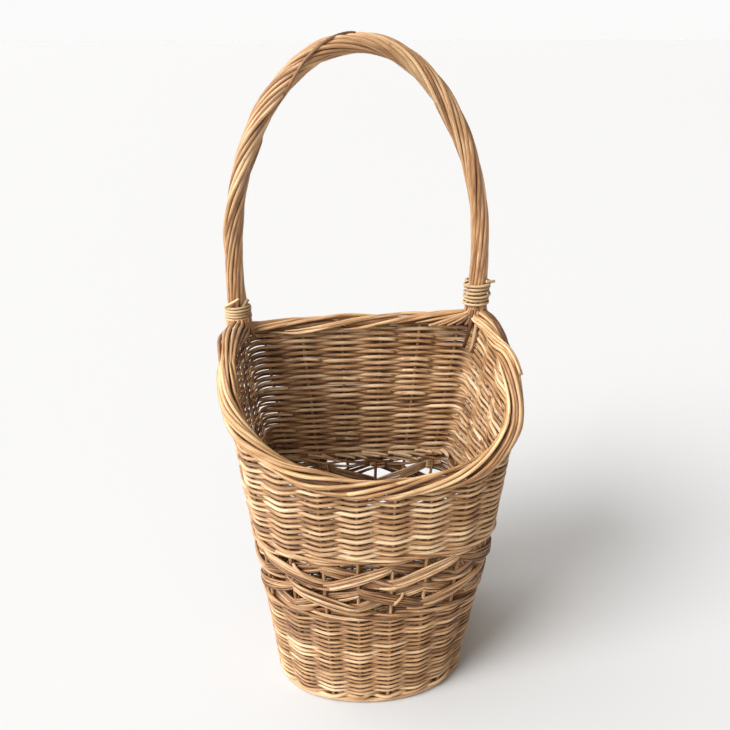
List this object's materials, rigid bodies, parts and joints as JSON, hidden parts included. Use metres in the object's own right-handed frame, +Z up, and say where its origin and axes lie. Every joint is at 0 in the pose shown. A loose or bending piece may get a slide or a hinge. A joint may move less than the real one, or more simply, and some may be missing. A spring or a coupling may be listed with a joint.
{
  "type": "wicker egg basket",
  "caption": "Flat-backed bow-fronted willow egg basket: woven sidings, openwork band, sloping rolled rim and a tall fixed roped bow handle.",
  "frame": {"origin": "floor level, at the middle of the basket's width and depth", "axes": "+X to the right seen from the front, +Y towards the flat back, +Z up"},
  "size_m": [0.2754, 0.1949, 0.6225],
  "materials": {
    "stake": "buff willow upright, satin, darker than the weavers",
    "weaver": "buff willow weaving rod, satin, honey brown with pale streaks",
    "bundle": "buff willow rods laid side by side, satin",
    "border": "buff willow rods rolled into a border, satin",
    "handle": "buff willow rods roped round a bow, satin, darker in the grooves",
    "cane": "thin pale split willow binding, satin"
  },
  "bodies": {
    "root": {"base_sticks": "stake", "base_weave": "weaver", "border": "border", "foot_ring": "weaver", "handle_bow": "handle", "handle_rope": "handle", "left_binding": "cane", "left_tail_rods": "handle", "lower_siding": "weaver", "lower_wale": "weaver", "right_binding": "cane", "right_tail_rods": "handle", "stake_01": "stake", "stake_02": "stake", "stake_03": "stake", "stake_04": "stake", "stake_05": "stake", "stake_06": "stake", "stake_07": "stake", "stake_08": "stake", "stake_09": "stake", "stake_10": "stake", "stake_11": "stake", "stake_12": "stake", "stake_13": "stake", "stake_14": "stake", "stake_15": "stake", "stake_16": "stake", "stake_17": "stake", "stake_18": "stake", "stake_19": "stake", "stake_20": "stake", "stake_21": "stake", "stake_22": "stake", "upper_siding": "weaver", "upper_wale": "weaver", "zigzag_lower": "bundle", "zigzag_upper": "bundle"}
  },
  "joints": []
}
